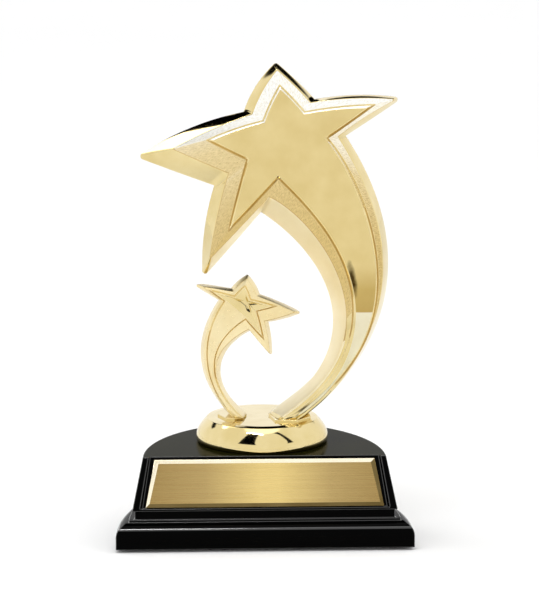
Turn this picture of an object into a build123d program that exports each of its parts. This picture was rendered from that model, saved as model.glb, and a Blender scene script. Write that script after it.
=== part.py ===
"""Star trophy: a large and a small shooting star on a round gold disc, bolted to an arched black base.

Millimetres. The origin is on the ground at the centre of the footprint, +Z up, the front faces -Y.
The disc's axis is the Z axis. Each figure is two hollow half shells that meet on the seam plane Y = 0.
"""
import os
from math import radians, tan

from build123d import *

# ---- Base ----
FOOT_HEIGHT = 1.0          # rubber feet lift the plinth off the ground
PLINTH_HALF_WIDTH = 49.0
PLINTH_HALF_DEPTH = 32.5
PLINTH_SHOULDER = 4.0      # radius of the plinth's rounded top edge
PLINTH_TOP = 9.0
LEDGE_TOP = 9.9            # a low step on the plinth, a little inside its flat top
LEDGE_INSET = 0.3
NECK_TOP = 12.9            # the narrow band between plinth and upper body
NECK_INSET = 0.8
BODY_HALF_WIDTH = 43.6     # upper body at its lower edge
BODY_FRONT = -28.6
BODY_BACK = 28.6
BASE_TOP = 30.0
TOP_HALF_WIDTH = 40.0
TOP_FRONT = -24.0
TOP_BACK = 25.0
WALL = 2.4
CAVITY_TOP = BASE_TOP - WALL
CAVITY_STEP = 7.0          # the wide lower cavity ends here
LOW_CAVITY = (46.5, -30.0, 30.0)     # half width, front and back of the cavity's plan
HIGH_CAVITY = (37.5, -21.5, 22.0)

# ---- Name plate and its recess in the leaning front ----
PLATE_THICKNESS = 0.8
PLATE_BOTTOM = 1.2         # up the slope, from the front face's lower edge
PLATE_TOP = 16.9
PLATE_LOW_HALF = 39.2
PLATE_HIGH_HALF = 36.2
PLATE_BEVEL = 0.3
PLATE_BEVEL_ANGLE = 70.0
RECESS_DEPTH = 1.0
RECESS_MARGIN = 1.1
RECESS_OVERRUN = 3.0       # the recess runs out through the top edge
RECESS_FLARE = (0.9, 0.6)  # how much wider its mouth is at the bottom, and at the top and below
CUT_CLEARANCE = 0.1
TAPE_THICKNESS = 0.25
TAPE_MARGIN = (1.5, 1.0)   # tape kept back from the plate's ends, and from its long edges

# ---- Disc under the figures ----
DISC_RADIUS = 22.25
DISC_HEIGHT = 8.3
DISC_TOP = BASE_TOP + DISC_HEIGHT
DISC_FLAT_RADIUS = 16.2    # the flat top ends in a faint edge
DISC_SHOULDER = (18.4, 38.0)
DISC_SIDE = (20.95, 35.3)  # radius and height half way down its rounded side
DISC_WIDEST = 31.6
DISC_RIM = 31.2
DISC_RIM_INSET = 0.8
DISC_WALL = 2.0
DISC_HOLLOW_RADIUS = 16.2
BOSS_RADIUS = 8.0
PAD_HEIGHT = 0.7
PAD_ROOT = 1.0             # the pads start this far down in the disc
FOOT_Z = DISC_TOP + PAD_HEIGHT

# ---- 1/4 inch fixing ----
BOLT_RADIUS = 3.1
BOLT_HOLE_RADIUS = 3.4
BOLT_HEAD_FLATS = 11.1
BOLT_HEAD_HEIGHT = 4.0
NUT_HEIGHT = 5.0
NUT_GAP = 0.1
THREAD_GAP = 0.05
NUT_CHAMFER = 0.4
BOLT_CHAMFER = 0.6
SPLIT_WIDTH = 1.2
FLAT_WASHER = (8.0, 1.2)   # outer radius, thickness
LOCK_WASHER = (5.6, 1.5)

# ---- Cover, ballast, screws and feet ----
FIT_GAP = 0.3
COVER_THICKNESS = 2.0
COVER_BOTTOM = 1.6
SCREW_SPOTS = [(-30.0, -13.0), (30.0, -13.0), (-25.0, 7.0), (25.0, 7.0)]
SCREW_RADIUS = 1.5
SCREW_HEAD_RADIUS = 2.8
SCREW_LENGTH = 9.0
SCREW_TIP = (0.4, 1.0)     # radius and length of the tapered point
SCREW_GAP = 0.1
POST_RADIUS = 3.2
FOOT_SPOTS = [(-36.0, -22.0), (36.0, -22.0), (-18.0, 16.0), (18.0, 16.0)]
FOOT_RADIUS = 5.0
FOOT_CHAMFER = 0.3
BALLAST_PLAN = (36.5, -20.5, 21.0)
BALLAST_HEIGHT = 12.0
BALLAST_BORE = 13.0

# ---- Figures: half thickness at the foot and lean of the front face ----
LARGE_FOOT_HALF = 9.5
LARGE_LEAN = 2.45
SMALL_FOOT_HALF = 6.0
SMALL_LEAN = 3.5
SHELL_WALL = 1.6
FOOT_FLOOR = 5.0
LARGE_PANEL_STEP = (0.7, 0.5)     # rise of the panel above the border, width of its bevel
SMALL_PANEL_STEP = (0.4, 0.25)
LARGE_PINS = [(8.0, 134.0), (36.0, 100.0), (30.0, 60.0)]
SMALL_PINS = [(-5.5, 77.0)]
POST_HOLD_RADIUS = 2.0
PIN_RADIUS = 1.0
PIN_LENGTH = 2.0
PIN_GAP = 0.1
TENON_DEPTH = PAD_HEIGHT + 2.6
TENON_GAP = 0.05
LARGE_TENON = (7.8, 5.0, 5.5)    # centre x, width, half depth
SMALL_TENON = (-8.2, 3.0, 3.5)

# ---- Figure outlines, (x, height) ----
# Each has the tail's outer curve from the star down to the foot, the inner curve from the foot back up,
# the star's corners from the inner curve's end round to the outer curve's start, and how far each of the
# star's sides bows outwards, in the same order. Every second corner of the star is a tip.
LARGE_SEAM = {
    "outer": [(27.8, 132.9), (41.7, 111.6), (52.7, 81.7), (35.5, 54.5), (15.6, FOOT_Z)],
    "inner": [(2.0, FOOT_Z), (20.5, 48.1), (39.1, 72.7), (15.0, 97.5), (-0.4, 107.5)],
    "star": [
        (-19.9, 85.2), (-15.9, 116.5), (-41.5, 126.1), (-6.1, 141.0),
        (4.6, 157.4), (17.5, 145.1), (46.7, 145.5),
    ],
    "bows": [0.1, 1.4, 0.1, 2.0, 1.3, 0.3, 1.2, 0.1],
    "tip_radius": 1.1,
}
LARGE_BORDER = {
    "outer": [(25.0, 133.4), (39.2, 109.9), (51.3, 84.9), (32.8, 51.7), (11.8, FOOT_Z)],
    "inner": [(5.0, FOOT_Z), (24.7, 53.2), (43.2, 70.8), (19.1, 105.4), (2.1, 113.5)],
    "star": [
        (-17.7, 92.7), (-11.3, 121.4), (-29.7, 129.5), (-3.5, 140.9),
        (4.8, 155.4), (15.9, 144.6), (44.1, 145.5),
    ],
    "bows": [0.1, 0.5, 0.1, 0.6, 0.8, 0.3, 0.9, -0.6],
    "tip_radius": 0.35,
}
LARGE_PANEL = {
    "outer": [(21.2, 132.9), (35.2, 117.0), (50.5, 73.8), (33.3, 57.4), (11.0, FOOT_Z)],
    "inner": [(7.0, FOOT_Z), (28.0, 50.3), (45.1, 79.4), (20.5, 104.8), (5.1, 119.8)],
    "star": [
        (-11.2, 102.6), (-5.1, 126.0), (-17.9, 132.4), (0.3, 138.6),
        (5.7, 150.0), (13.8, 141.4), (36.3, 143.6),
    ],
    "bows": [0.1, 0.1, 0.1, 0.5, 0.3, 0.2, 0.5, 0.1],
    "tip_radius": 0.25,
}
SMALL_SEAM = {
    "outer": [(-14.5, 77.9), (-22.9, 65.6), (-23.4, 51.8), (-10.9, FOOT_Z)],
    "inner": [(-5.4, FOOT_Z), (-17.6, 49.3), (-16.3, 61.1), (-3.9, 67.4)],
    "star": [
        (3.4, 58.5), (2.2, 70.4), (13.3, 73.4), (-0.7, 79.8),
        (-4.8, 86.6), (-10.4, 81.9), (-23.3, 83.5),
    ],
    "bows": [0.1, 0.4, 0.4, 0.3, 0.5, 0.4, 0.1, 0.1],
    "tip_radius": 0.5,
}
SMALL_BORDER = {
    "outer": [(-13.8, 78.4), (-21.9, 66.5), (-22.0, 52.0), (-9.9, FOOT_Z)],
    "inner": [(-6.4, FOOT_Z), (-19.4, 50.8), (-18.5, 61.8), (-4.5, 68.7)],
    "star": [
        (2.4, 60.4), (0.6, 71.4), (10.9, 74.4), (-1.7, 79.8),
        (-5.0, 85.6), (-9.9, 81.3), (-19.9, 83.1),
    ],
    "bows": [0.1, 0.3, 0.3, 0.2, 0.3, 0.3, 0.1, 0.1],
    "tip_radius": 0.2,
}
SMALL_PANEL = {
    "outer": [(-12.6, 78.3), (-20.6, 67.0), (-21.2, 52.0), (-9.7, FOOT_Z)],
    "inner": [(-6.9, FOOT_Z), (-19.9, 51.6), (-18.8, 63.8), (-5.6, 72.2)],
    "star": [
        (0.3, 65.6), (-1.9, 74.9), (4.4, 76.5), (-3.9, 78.8),
        (-5.7, 83.5), (-9.3, 79.9), (-17.5, 82.0),
    ],
    "bows": [0.1, 0.1, 0.1, 0.1, 0.1, 0.1, 0.1, 0.1],
    "tip_radius": 0.1,
}
# Low pads on the disc under the two feet, (x, y) of the front half
LARGE_PAD = [(2.2, 0.0), (4.0, -9.8), (11.4, -10.6), (16.2, -4.5), (16.2, 0.0)]
SMALL_PAD = [(-15.0, 0.0), (-12.3, -6.6), (-9.4, -6.4), (-5.2, 0.0)]
CURVES = ("outer", "inner", "star")

os.makedirs("parts", exist_ok=True)


def save(part, name):
    """Labels one finished piece and writes its file."""
    part.label = name
    export_step(part, f"parts/{name}.step")


def arch_plan(z, half_width, front, back):
    """Plan of the base at one height: a straight front with a half-ellipse behind it."""
    with BuildSketch(Plane.XY.offset(z)) as plan:
        with BuildLine():
            EllipticalCenterArc((0, front), half_width, back - front, start_angle=0, arc_size=180)
            Line((-half_width, front), (half_width, front))
        make_face()
    return plan.sketch


def trapezoid(plane, low, high, low_half, high_half):
    """Upright trapezoid on the leaning front, from its lower to its upper edge."""
    with BuildSketch(plane) as sketch:
        with BuildLine():
            Polyline((-low_half, low), (low_half, low), (high_half, high), (-high_half, high), close=True)
        make_face()
    return sketch.sketch


def bowed_side(start, end, bow):
    """Side of a star from corner to corner, bowed to its left by a small amount."""
    start, end = Vector(*start), Vector(*end)
    along = (end - start).normalized()
    ThreePointArc(start, (start + end) * 0.5 + Vector(-along.Y, along.X) * bow, end)


def winding(ring):
    """1 for corners listed anticlockwise, -1 for clockwise."""
    return 1 if sum(a.cross(b).Z for a, b in zip(ring, ring[1:] + ring[:1])) > 0 else -1


def figure_outline(plane, outline, foot):
    """Closed outline of a star with its tail, its heights counted from foot."""
    outer, inner, star = ([(x, z - foot) for x, z in outline[part]] for part in CURVES)
    outwards = -winding([Vector(*point) for point in star])
    with BuildSketch(plane) as sketch:
        with BuildLine():
            Bezier(*outer)
            Line(outer[-1], inner[0])
            Bezier(*inner)
            corners = [inner[-1], *star, outer[0]]
            for start, end, bow in zip(corners, corners[1:], outline["bows"]):
                bowed_side(start, end, bow * outwards)
        make_face()
        tips = [Vector(*tip) for tip in star[::2]]
        near_tip = [v for v in vertices() if min((Vector(v) - tip).length for tip in tips) < 0.01]
        fillet(near_tip, outline["tip_radius"])
    return sketch.sketch


def front_face(foot_half, lean):
    """Plane of a figure's front: foot_half out from the seam at the foot, and leaning back."""
    outwards = Vector(0, -1, 0).rotate(Axis.X, -lean)
    return Plane(origin=(0, -foot_half, FOOT_Z), x_dir=(1, 0, 0), z_dir=outwards)


def half_thickness(z, foot_half, lean):
    """Distance from the seam to the front face at one height."""
    return foot_half - (z - FOOT_Z) * tan(radians(lean))


def figure_cavity(panel, foot_half, lean):
    """Hollow behind the panel of a half shell, closed at the front and above the foot."""
    with BuildPart() as cavity:
        extrude(figure_outline(Plane.XZ, panel, 0.0), amount=2 * foot_half)
        split(bisect_by=front_face(foot_half, lean).offset(-SHELL_WALL), keep=Keep.BOTTOM)
        split(bisect_by=Plane.XY.offset(FOOT_Z + FOOT_FLOOR), keep=Keep.TOP)
    return cavity.part


def inset(outline, amount):
    """The outline moved inwards: each corner and control point moves along its mitre."""
    ring = [Vector(*point) for part in CURVES for point in outline[part]]
    side = winding(ring)
    moved = []
    for before, here, after in zip(ring[-1:] + ring[:-1], ring, ring[1:] + ring[:1]):
        ways = ((here - before).normalized(), (after - here).normalized())
        normals = [Vector(-way.Y, way.X) * side for way in ways]
        mitre = normals[0] + normals[1]
        point = here + mitre * (amount / (1 + normals[0].dot(normals[1])))
        moved.append((point.X, point.Y))
    return outline | {part: [moved.pop(0) for _ in outline[part]] for part in CURVES}


def raised_panel(face, panel, step):
    """Smooth panel that stands on the border, with a bevelled edge."""
    rise, bevel = step
    low = figure_outline(face, panel, FOOT_Z)
    high = figure_outline(face.offset(rise), inset(panel, bevel), FOOT_Z)
    with BuildPart() as raised:
        loft([low, high], ruled=True)
    return raised.part


def figure_half(seam, border, panel, step, foot_half, lean):
    """Front half shell: bevelled walls from seam to border, the raised panel, and the cavity behind."""
    face = front_face(foot_half, lean)
    with BuildPart() as half:
        loft([figure_outline(Plane.XZ, seam, 0.0), figure_outline(face, border, FOOT_Z)], ruled=True)
        add(raised_panel(face, panel, step))
        add(figure_cavity(panel, foot_half, lean), mode=Mode.SUBTRACT)
    return half.part


def posts(spots, foot_half, lean, radius):
    """Round posts in a half shell, from the seam into the wall behind the panel."""
    with BuildPart() as standing:
        for x, z in spots:
            with BuildSketch(Plane.XZ):
                with Locations((x, z)):
                    Circle(radius)
            extrude(amount=half_thickness(z, foot_half, lean) - SHELL_WALL / 2)
    return standing.part


def seam_holes(spots, radius, y_start, y_end):
    """Round bars across the seam: pins where they are added, pin holes where they are cut."""
    with BuildPart() as bars:
        with BuildSketch(Plane.XZ.offset(-y_end)):
            with Locations(spots):
                Circle(radius)
        extrude(amount=y_end - y_start)
    return bars.part


def tenon(x, width, half_depth, gap=0.0):
    """Square tenon under a pair of half shells, or with a gap the socket for it."""
    hanging = (Align.CENTER, Align.CENTER, Align.MAX)
    with BuildPart() as peg:
        with Locations((x, 0, FOOT_Z)):
            Box(width + 2 * gap, 2 * (half_depth + gap), TENON_DEPTH + gap, align=hanging)
    return peg.part


def add_figure_front(half, tenon_size, spots, foot_half, lean):
    """Front half: the shell, half the tenon, and posts that end in pins across the seam."""
    add(half)
    add(posts(spots, foot_half, lean, POST_HOLD_RADIUS))
    add(tenon(*tenon_size).split(Plane.XZ, keep=Keep.TOP))
    add(seam_holes(spots, PIN_RADIUS, -PIN_LENGTH, PIN_LENGTH))


def add_figure_back(half, tenon_size, spots, foot_half, lean):
    """Rear half: the mirror image, with holes for the pins."""
    add(half)
    add(posts(spots, foot_half, lean, POST_HOLD_RADIUS))
    add(tenon(*tenon_size).split(Plane.XZ, keep=Keep.TOP))
    add(seam_holes(spots, PIN_RADIUS + PIN_GAP, -PIN_LENGTH - PIN_GAP, PIN_GAP), mode=Mode.SUBTRACT)
    mirror(about=Plane.XZ, mode=Mode.REPLACE)


# ---- Figures ----
large_outlines = (LARGE_SEAM, LARGE_BORDER, LARGE_PANEL)
small_outlines = (SMALL_SEAM, SMALL_BORDER, SMALL_PANEL)
large_half = figure_half(*large_outlines, LARGE_PANEL_STEP, LARGE_FOOT_HALF, LARGE_LEAN)
small_half = figure_half(*small_outlines, SMALL_PANEL_STEP, SMALL_FOOT_HALF, SMALL_LEAN)

with BuildPart() as large_star_front:
    add_figure_front(large_half, LARGE_TENON, LARGE_PINS, LARGE_FOOT_HALF, LARGE_LEAN)
save(large_star_front.part, "large_star_front")

with BuildPart() as large_star_back:
    add_figure_back(large_half, LARGE_TENON, LARGE_PINS, LARGE_FOOT_HALF, LARGE_LEAN)
save(large_star_back.part, "large_star_back")

with BuildPart() as small_star_front:
    add_figure_front(small_half, SMALL_TENON, SMALL_PINS, SMALL_FOOT_HALF, SMALL_LEAN)
save(small_star_front.part, "small_star_front")

with BuildPart() as small_star_back:
    add_figure_back(small_half, SMALL_TENON, SMALL_PINS, SMALL_FOOT_HALF, SMALL_LEAN)
save(small_star_back.part, "small_star_back")

# ---- Disc ----
disc_foot = DISC_RADIUS - DISC_RIM_INSET
disc_ceiling = DISC_TOP - DISC_WALL

with BuildPart() as figure_disc:
    with BuildSketch(Plane.XZ):
        with BuildLine():
            ThreePointArc(DISC_SHOULDER, DISC_SIDE, (DISC_RADIUS, DISC_WIDEST))
            Polyline(
                (DISC_RADIUS, DISC_WIDEST),
                (DISC_RADIUS, DISC_RIM),
                (disc_foot, BASE_TOP),
                (disc_foot - DISC_WALL, BASE_TOP),
                (DISC_HOLLOW_RADIUS - DISC_WALL, disc_ceiling),
                (BOSS_RADIUS, disc_ceiling),
                (BOSS_RADIUS, BASE_TOP),
                (0, BASE_TOP),
                (0, DISC_TOP),
                (DISC_FLAT_RADIUS, DISC_TOP),
                DISC_SHOULDER,
            )
        make_face()
    revolve(axis=Axis.Z)
    for pad in (LARGE_PAD, SMALL_PAD):
        with BuildSketch(Plane.XY.offset(DISC_TOP - PAD_ROOT)):
            with BuildLine():
                Polyline(*pad, close=True)
            make_face()
            mirror(about=Plane.XZ)
        extrude(amount=PAD_ROOT + PAD_HEIGHT)
    with BuildSketch(Plane.XY.offset(BASE_TOP)):
        RegularPolygon(BOLT_HEAD_FLATS / 2 + NUT_GAP, 6, major_radius=False)
    extrude(amount=NUT_HEIGHT + NUT_GAP, mode=Mode.SUBTRACT)
    add(tenon(*LARGE_TENON, gap=TENON_GAP), mode=Mode.SUBTRACT)
    add(tenon(*SMALL_TENON, gap=TENON_GAP), mode=Mode.SUBTRACT)
save(figure_disc.part, "figure_disc")


def hex_bar(z, height, flats):
    """Hexagonal bar about the bolt's axis."""
    with BuildPart() as bar:
        with BuildSketch(Plane.XY.offset(z)):
            RegularPolygon(flats / 2, 6, major_radius=False)
        extrude(amount=height)
    return bar.part


# ---- Fixing ----
flat_radius, flat_thickness = FLAT_WASHER
lock_radius, lock_thickness = LOCK_WASHER
lock_top = CAVITY_TOP - flat_thickness
head_top = lock_top - lock_thickness

with BuildPart() as figure_nut:
    add(hex_bar(BASE_TOP, NUT_HEIGHT, BOLT_HEAD_FLATS))
    with Locations((0, 0, BASE_TOP + NUT_HEIGHT)):
        Hole(radius=BOLT_RADIUS + THREAD_GAP)
    chamfer(edges().filter_by(GeomType.CIRCLE), length=NUT_CHAMFER)
save(figure_nut.part, "figure_nut")

with BuildPart() as fixing_bolt:
    add(hex_bar(head_top - BOLT_HEAD_HEIGHT, BOLT_HEAD_HEIGHT, BOLT_HEAD_FLATS))
    with BuildSketch(Plane.XY.offset(head_top)):
        Circle(BOLT_RADIUS)
    extrude(amount=BASE_TOP + NUT_HEIGHT - head_top)
    chamfer(faces().sort_by(Axis.Z)[-1].edges(), length=BOLT_CHAMFER)
save(fixing_bolt.part, "fixing_bolt")

with BuildPart() as flat_washer:
    with BuildSketch(Plane.XY.offset(lock_top)):
        Circle(flat_radius)
        Circle(BOLT_HOLE_RADIUS, mode=Mode.SUBTRACT)
    extrude(amount=flat_thickness)
save(flat_washer.part, "flat_washer")

with BuildPart() as lock_washer:
    with BuildSketch(Plane.XY.offset(head_top)):
        Circle(lock_radius)
        Circle(BOLT_HOLE_RADIUS, mode=Mode.SUBTRACT)
        with Locations((lock_radius, 0)):
            Rectangle(2 * lock_radius, SPLIT_WIDTH, mode=Mode.SUBTRACT)
    extrude(amount=lock_thickness)
save(lock_washer.part, "lock_washer")

# ---- Base ----
slope = Vector(0, TOP_FRONT - BODY_FRONT, BASE_TOP - NECK_TOP)
front_normal = Vector(1, 0, 0).cross(slope)
front_plane = Plane(origin=(0, BODY_FRONT, NECK_TOP), x_dir=(1, 0, 0), z_dir=front_normal)
low_half = PLATE_LOW_HALF + RECESS_MARGIN
high_half = PLATE_HIGH_HALF + RECESS_MARGIN
low_flare, high_flare = RECESS_FLARE
recess_bottom = PLATE_BOTTOM - RECESS_MARGIN / 2
recess_top = PLATE_TOP + RECESS_OVERRUN
mouth_plane = front_plane.offset(CUT_CLEARANCE)
floor_plane = front_plane.offset(-RECESS_DEPTH)

with BuildPart() as base_shell:
    plinth = arch_plan(FOOT_HEIGHT, PLINTH_HALF_WIDTH, -PLINTH_HALF_DEPTH, PLINTH_HALF_DEPTH)
    extrude(plinth, amount=PLINTH_TOP - FOOT_HEIGHT)
    fillet(faces().sort_by(Axis.Z)[-1].edges(), radius=PLINTH_SHOULDER)
    ledge_shrink = PLINTH_SHOULDER + LEDGE_INSET
    ledge_half_depth = PLINTH_HALF_DEPTH - ledge_shrink
    ledge = arch_plan(PLINTH_TOP, PLINTH_HALF_WIDTH - ledge_shrink, -ledge_half_depth, ledge_half_depth)
    extrude(ledge, amount=LEDGE_TOP - PLINTH_TOP)
    neck_sides = (BODY_HALF_WIDTH - NECK_INSET, BODY_FRONT + NECK_INSET, BODY_BACK - NECK_INSET)
    extrude(arch_plan(LEDGE_TOP, *neck_sides), amount=NECK_TOP - LEDGE_TOP)
    body_low = arch_plan(NECK_TOP, BODY_HALF_WIDTH, BODY_FRONT, BODY_BACK)
    body_high = arch_plan(BASE_TOP, TOP_HALF_WIDTH, TOP_FRONT, TOP_BACK)
    loft([body_low, body_high], ruled=True)
    mouth_halves = (low_half + low_flare, high_half + high_flare)
    recess_mouth = trapezoid(mouth_plane, recess_bottom - high_flare, recess_top, *mouth_halves)
    recess_floor = trapezoid(floor_plane, recess_bottom, recess_top, low_half, high_half)
    loft([recess_mouth, recess_floor], ruled=True, mode=Mode.SUBTRACT)
    low_cavity = arch_plan(FOOT_HEIGHT, *LOW_CAVITY)
    extrude(low_cavity, amount=CAVITY_STEP - FOOT_HEIGHT, mode=Mode.SUBTRACT)
    high_cavity = arch_plan(CAVITY_STEP, *HIGH_CAVITY)
    extrude(high_cavity, amount=CAVITY_TOP - CAVITY_STEP, mode=Mode.SUBTRACT)
    with BuildSketch(Plane.XY.offset(COVER_BOTTOM + COVER_THICKNESS)):
        with Locations(SCREW_SPOTS):
            Circle(POST_RADIUS)
    extrude(amount=CAVITY_TOP - COVER_BOTTOM - COVER_THICKNESS)
    with BuildSketch(Plane.XY.offset(COVER_BOTTOM + COVER_THICKNESS)):
        with Locations(SCREW_SPOTS):
            Circle(SCREW_RADIUS)
    extrude(amount=SCREW_LENGTH, mode=Mode.SUBTRACT)
    with Locations((0, 0, BASE_TOP)):
        Hole(radius=BOLT_HOLE_RADIUS, depth=WALL)
save(base_shell.part, "base_shell")

plate_sides = (PLATE_BOTTOM, PLATE_TOP, PLATE_LOW_HALF, PLATE_HIGH_HALF)
plate_seat = floor_plane.offset(TAPE_THICKNESS)
plate_body = PLATE_THICKNESS - PLATE_BEVEL

with BuildPart() as nameplate:
    extrude(trapezoid(plate_seat, *plate_sides), amount=plate_body)
    plate_rim = trapezoid(plate_seat.offset(plate_body), *plate_sides)
    extrude(plate_rim, amount=PLATE_BEVEL, taper=PLATE_BEVEL_ANGLE)
save(nameplate.part, "nameplate")

with BuildPart() as nameplate_tape:
    end_margin, edge_margin = TAPE_MARGIN
    tape_heights = (PLATE_BOTTOM + edge_margin, PLATE_TOP - edge_margin)
    tape_halves = (PLATE_LOW_HALF - end_margin, PLATE_HIGH_HALF - end_margin)
    extrude(trapezoid(floor_plane, *tape_heights, *tape_halves), amount=TAPE_THICKNESS)
save(nameplate_tape.part, "nameplate_tape")

with BuildPart() as ballast:
    extrude(arch_plan(CAVITY_TOP - BALLAST_HEIGHT, *BALLAST_PLAN), amount=BALLAST_HEIGHT)
    with BuildSketch(Plane.XY.offset(CAVITY_TOP - BALLAST_HEIGHT)):
        Circle(BALLAST_BORE)
        with Locations(SCREW_SPOTS):
            Circle(POST_RADIUS + FIT_GAP)
    extrude(amount=BALLAST_HEIGHT, mode=Mode.SUBTRACT)
save(ballast.part, "ballast")

with BuildPart() as base_cover:
    cavity_half, cavity_front, cavity_back = LOW_CAVITY
    cover_sides = (cavity_half - FIT_GAP, cavity_front + FIT_GAP, cavity_back - FIT_GAP)
    extrude(arch_plan(COVER_BOTTOM, *cover_sides), amount=COVER_THICKNESS)
    with Locations(*[Location((x, y, COVER_BOTTOM), (180, 0, 0)) for x, y in SCREW_SPOTS]):
        CounterSinkHole(SCREW_RADIUS + SCREW_GAP, SCREW_HEAD_RADIUS + SCREW_GAP, counter_sink_angle=90)
save(base_cover.part, "base_cover")

tip_radius, tip_length = SCREW_TIP

with BuildPart() as cover_screws:
    with BuildSketch(Plane.XZ) as screw_profile:
        with BuildLine():
            Polyline(
                (0, 0), (SCREW_HEAD_RADIUS, 0), (SCREW_RADIUS, SCREW_HEAD_RADIUS - SCREW_RADIUS),
                (SCREW_RADIUS, SCREW_LENGTH - tip_length), (tip_radius, SCREW_LENGTH), (0, SCREW_LENGTH),
                close=True,
            )
        make_face()
    screw = revolve(axis=Axis.Z, mode=Mode.PRIVATE)
    for x, y in SCREW_SPOTS:
        add(screw.moved(Location((x, y, COVER_BOTTOM))))
save(cover_screws.part, "cover_screws")

with BuildPart() as rubber_feet:
    with BuildSketch(Plane.XY):
        with Locations(FOOT_SPOTS):
            Circle(FOOT_RADIUS)
    extrude(amount=COVER_BOTTOM)
    chamfer(edges().group_by(Axis.Z)[0], length=FOOT_CHAMFER)
save(rubber_feet.part, "rubber_feet")
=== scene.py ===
"""Looks for the star trophy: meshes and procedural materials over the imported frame, and the studio.

Metres, in the frame's axes: +Z up, the front faces -Y. Outlines and profiles are written in millimetres
and scaled by MM. Every figure half is a mesh of ribs: each rib runs from the seam over the bevelled wall,
the ridge, the border strip and the panel's bevelled edge to the panel's top.
"""
from math import cos, pi, radians, sin

import bmesh
import bpy
import numpy as np
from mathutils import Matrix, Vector


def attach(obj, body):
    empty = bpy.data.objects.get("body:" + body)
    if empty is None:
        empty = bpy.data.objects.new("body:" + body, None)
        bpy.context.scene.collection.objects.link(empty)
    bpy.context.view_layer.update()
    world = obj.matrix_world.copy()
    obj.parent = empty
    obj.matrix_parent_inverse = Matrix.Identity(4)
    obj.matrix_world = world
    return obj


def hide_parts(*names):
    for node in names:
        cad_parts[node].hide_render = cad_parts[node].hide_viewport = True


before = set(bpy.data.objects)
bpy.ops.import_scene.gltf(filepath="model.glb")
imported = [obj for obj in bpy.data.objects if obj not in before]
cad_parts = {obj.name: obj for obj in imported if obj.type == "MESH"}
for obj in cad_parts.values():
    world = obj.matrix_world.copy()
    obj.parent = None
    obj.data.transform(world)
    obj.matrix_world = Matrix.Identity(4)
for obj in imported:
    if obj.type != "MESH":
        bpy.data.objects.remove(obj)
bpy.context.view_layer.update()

MM = 0.001
BODY = "root"

# ---- Camera, in millimetres ----
CAMERA_SPOT = (-30.884, -884.39, 244.012)
CAMERA_TARGET = (2.67, 0.0, 76.45)
CAMERA_LENS = 159.6

# ---- Base ----
FOOT_HEIGHT = 1.0
PLINTH_HALF_WIDTH = 49.0
PLINTH_HALF_DEPTH = 32.5
PLINTH_SHOULDER = 4.0
PLINTH_TOP = 9.0
LEDGE_TOP = 9.9
LEDGE_INSET = 0.3
NECK_TOP = 12.9
NECK_INSET = 0.8
BODY_HALF_WIDTH = 43.6
BODY_FRONT = -28.6
BODY_BACK = 28.6
BASE_TOP = 30.0
TOP_HALF_WIDTH = 40.0
TOP_FRONT = -24.0
TOP_BACK = 25.0
CAVITY_PLAN = (46.5, -30.0, 30.0)      # half width, front and back of the hollow underneath
CAVITY_ROOF = 3.4                      # only the mouth of the hollow is made
BASE_EDGE = 0.28

# ---- Name plate and recess, on the leaning front ----
PLATE_THICKNESS = 0.8
PLATE_BOTTOM = 1.2
PLATE_TOP = 16.9
PLATE_LOW_HALF = 39.2
PLATE_HIGH_HALF = 36.2
RIM_ROOT = 0.45            # the rim starts this far above the tape
RECESS_DEPTH = 1.0
RECESS_MOUTH = (41.1, 38.2, 0.85)      # half width below and above, and height of the lower edge
RECESS_FLOOR = (40.3, 37.6, 1.0)
TAPE_THICKNESS = 0.25

# ---- Disc ----
DISC_TOP = 38.3
PAD_HEIGHT = 0.7
PAD_ROOT = 0.8             # the pads start this far down in the disc
PAD_EDGE = 0.18
FOOT_Z = DISC_TOP + PAD_HEIGHT

# ---- Figures ----
LARGE_FOOT_HALF = 9.5
LARGE_LEAN = 2.45
SMALL_FOOT_HALF = 6.0
SMALL_LEAN = 3.5
LARGE_SEAM = {
    "outer": [(27.8, 132.9), (41.7, 111.6), (52.7, 81.7), (35.5, 54.5), (15.6, FOOT_Z)],
    "inner": [(2.0, FOOT_Z), (20.5, 48.1), (39.1, 72.7), (15.0, 97.5), (-0.4, 107.5)],
    "star": [
        (-19.9, 85.2), (-15.9, 116.5), (-41.5, 126.1), (-6.1, 141.0),
        (4.6, 157.4), (17.5, 145.1), (46.7, 145.5),
    ],
    "bows": [0.1, 1.4, 0.1, 2.0, 1.3, 0.3, 1.2, 0.1],
    "tip_radius": 1.1,
}
LARGE_BORDER = {
    "outer": [(25.0, 133.4), (39.2, 109.9), (51.3, 84.9), (32.8, 51.7), (11.8, FOOT_Z)],
    "inner": [(5.0, FOOT_Z), (24.7, 53.2), (43.2, 70.8), (19.1, 105.4), (2.1, 113.5)],
    "star": [
        (-17.7, 92.7), (-11.3, 121.4), (-29.7, 129.5), (-3.5, 140.9),
        (4.8, 155.4), (15.9, 144.6), (44.1, 145.5),
    ],
    "bows": [0.1, 0.5, 0.1, 0.6, 0.8, 0.3, 0.9, -0.6],
    "tip_radius": 0.35,
}
LARGE_PANEL = {
    "outer": [(21.2, 132.9), (35.2, 117.0), (50.5, 73.8), (33.3, 57.4), (11.0, FOOT_Z)],
    "inner": [(7.0, FOOT_Z), (28.0, 50.3), (45.1, 79.4), (20.5, 104.8), (5.1, 119.8)],
    "star": [
        (-11.2, 102.6), (-5.1, 126.0), (-17.9, 132.4), (0.3, 138.6),
        (5.7, 150.0), (13.8, 141.4), (36.3, 143.6),
    ],
    "bows": [0.1, 0.1, 0.1, 0.5, 0.3, 0.2, 0.5, 0.1],
    "tip_radius": 0.25,
}
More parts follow.
